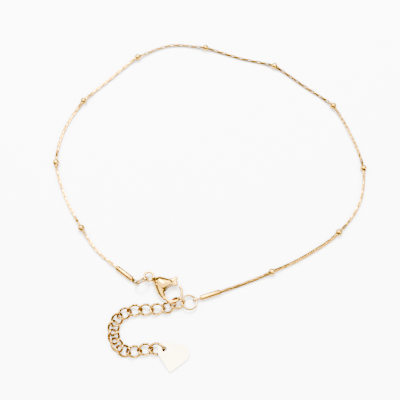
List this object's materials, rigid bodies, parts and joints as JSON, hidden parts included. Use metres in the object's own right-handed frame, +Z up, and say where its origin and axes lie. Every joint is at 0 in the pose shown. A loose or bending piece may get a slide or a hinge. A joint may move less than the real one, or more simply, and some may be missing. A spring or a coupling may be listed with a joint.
{
  "type": "chain anklet",
  "caption": "Closed chain anklet of long box links with small round beads, end tubes, jump rings, a lobster clasp and an extender chain with a heart tag",
  "frame": {"origin": "bottom centre of the bounding box, on the table that the anklet lies on", "axes": "+Z up from the table, -Y towards the clasp and the extender chain, +X to the right when seen from that side"},
  "size_m": [0.0812, 0.0912, 0.0035],
  "materials": {
    "chain_gold": "polished",
    "bead_gold": "mirror polished",
    "fittings_gold": "polished with fine scratches",
    "tag_gold": "mirror polished"
  },
  "bodies": {
    "anklet": {"fine_chain": "chain_gold", "bead_01": "bead_gold", "bead_02": "bead_gold", "bead_03": "bead_gold", "bead_04": "bead_gold", "bead_05": "bead_gold", "bead_06": "bead_gold", "bead_07": "bead_gold", "bead_08": "bead_gold", "bead_09": "bead_gold", "bead_10": "bead_gold", "end_tube_left": "fittings_gold", "end_tube_right": "fittings_gold", "jump_ring_left": "fittings_gold", "jump_ring_right": "fittings_gold", "clasp_body": "fittings_gold", "clasp_pin": "fittings_gold", "extender_link_01": "fittings_gold", "extender_link_02": "fittings_gold", "extender_link_03": "fittings_gold", "extender_link_04": "fittings_gold", "extender_link_05": "fittings_gold", "extender_link_06": "fittings_gold", "extender_link_07": "fittings_gold", "extender_link_08": "fittings_gold", "extender_link_09": "fittings_gold", "extender_link_10": "fittings_gold", "extender_link_11": "fittings_gold", "extender_link_12": "fittings_gold", "extender_link_13": "fittings_gold", "extender_link_14": "fittings_gold", "heart_tag": "tag_gold"},
    "lever": {"clasp_lever": "fittings_gold"}
  },
  "joints": [
    {"name": "lever_hinge", "type": "hinge", "parent": "anklet", "child": "lever", "pos_m": [-0.01204, -0.02436, 0.00136], "axis": [0, 0, -1], "range_deg": [0, 25], "stiffness_Nm_per_rad": 0.01}
  ]
}
